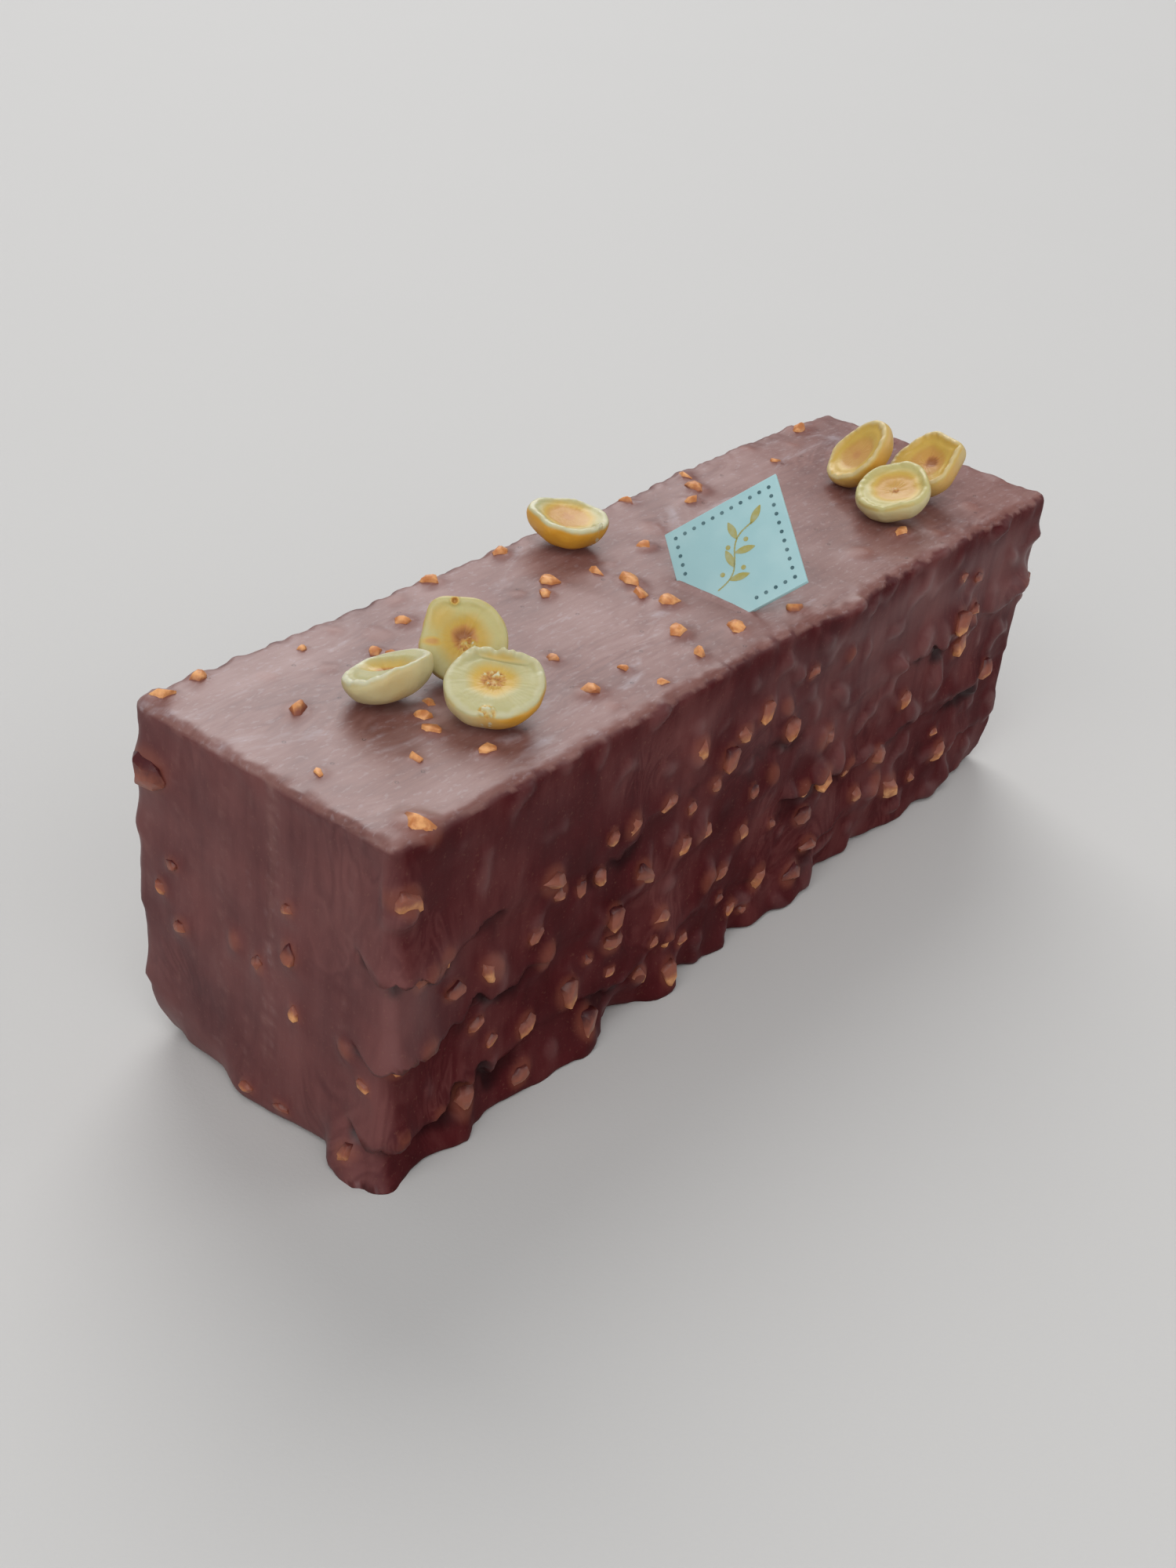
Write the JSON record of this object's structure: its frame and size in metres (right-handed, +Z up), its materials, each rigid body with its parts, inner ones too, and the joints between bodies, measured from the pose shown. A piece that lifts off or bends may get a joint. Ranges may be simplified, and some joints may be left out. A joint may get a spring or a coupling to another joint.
{
  "type": "chocolate hazelnut praline cake",
  "caption": "Long loaf cake in a nutty chocolate glaze, topped with blanched hazelnut halves and a small pale lozenge plaque, with a flat base to stand on.",
  "frame": {"origin": "centre of the footprint, on the surface that the cake stands on", "axes": "+X along the loaf, from the seen end to the far end; +Y across it, away from the long side that the picture shows; +Z up"},
  "size_m": [0.18, 0.0566, 0.0745],
  "materials": {
    "milk_chocolate_glaze": null,
    "chopped_nut": null,
    "blanched_hazelnut": null,
    "pale_aqua_plaque": null
  },
  "bodies": {
    "root": {"glazed_cake": "milk_chocolate_glaze", "hazelnut_half_1": "blanched_hazelnut", "hazelnut_half_2": "blanched_hazelnut", "hazelnut_half_3": "blanched_hazelnut", "hazelnut_half_4": "blanched_hazelnut", "hazelnut_half_5": "blanched_hazelnut", "hazelnut_half_6": "blanched_hazelnut", "hazelnut_half_7": "blanched_hazelnut", "plaque": "pale_aqua_plaque"}
  },
  "joints": []
}
